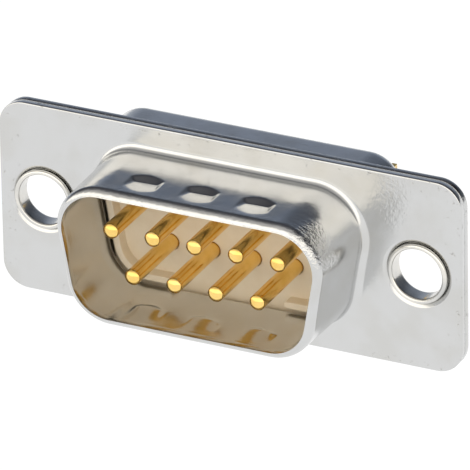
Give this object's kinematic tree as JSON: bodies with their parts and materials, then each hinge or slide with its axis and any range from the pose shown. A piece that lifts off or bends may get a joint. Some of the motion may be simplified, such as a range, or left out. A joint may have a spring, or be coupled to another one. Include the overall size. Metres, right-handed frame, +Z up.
{
  "type": "d-sub connector",
  "caption": "D-subminiature plug with solder cups: D-shaped steel skirt round gold pins, oblong flange with two eyelets, stepped rear shell.",
  "frame": {"origin": "centre of the flange's front face, midway between the fixing holes", "axes": "+X along the flange, to the right when looking into the mouth; -Y is the mating direction; +Z up, with the wide row of pins uppermost"},
  "size_m": [0.0308, 0.016, 0.0126],
  "materials": {
    "front_plate": "bright plated, satin",
    "rear_plate": "bright plated",
    "eyelet": "bright plated",
    "insulator": "satin moulded",
    "contact": "gold plated, polished"
  },
  "bodies": {
    "root": {"front_shell": "front_plate", "rear_shell": "rear_plate", "front_insulator": "insulator", "rear_insulator": "insulator", "contact_1": "contact", "contact_2": "contact", "contact_3": "contact", "contact_4": "contact", "contact_5": "contact", "contact_6": "contact", "contact_7": "contact", "contact_8": "contact", "contact_9": "contact", "eyelet_left": "eyelet", "eyelet_right": "eyelet"}
  },
  "joints": []
}
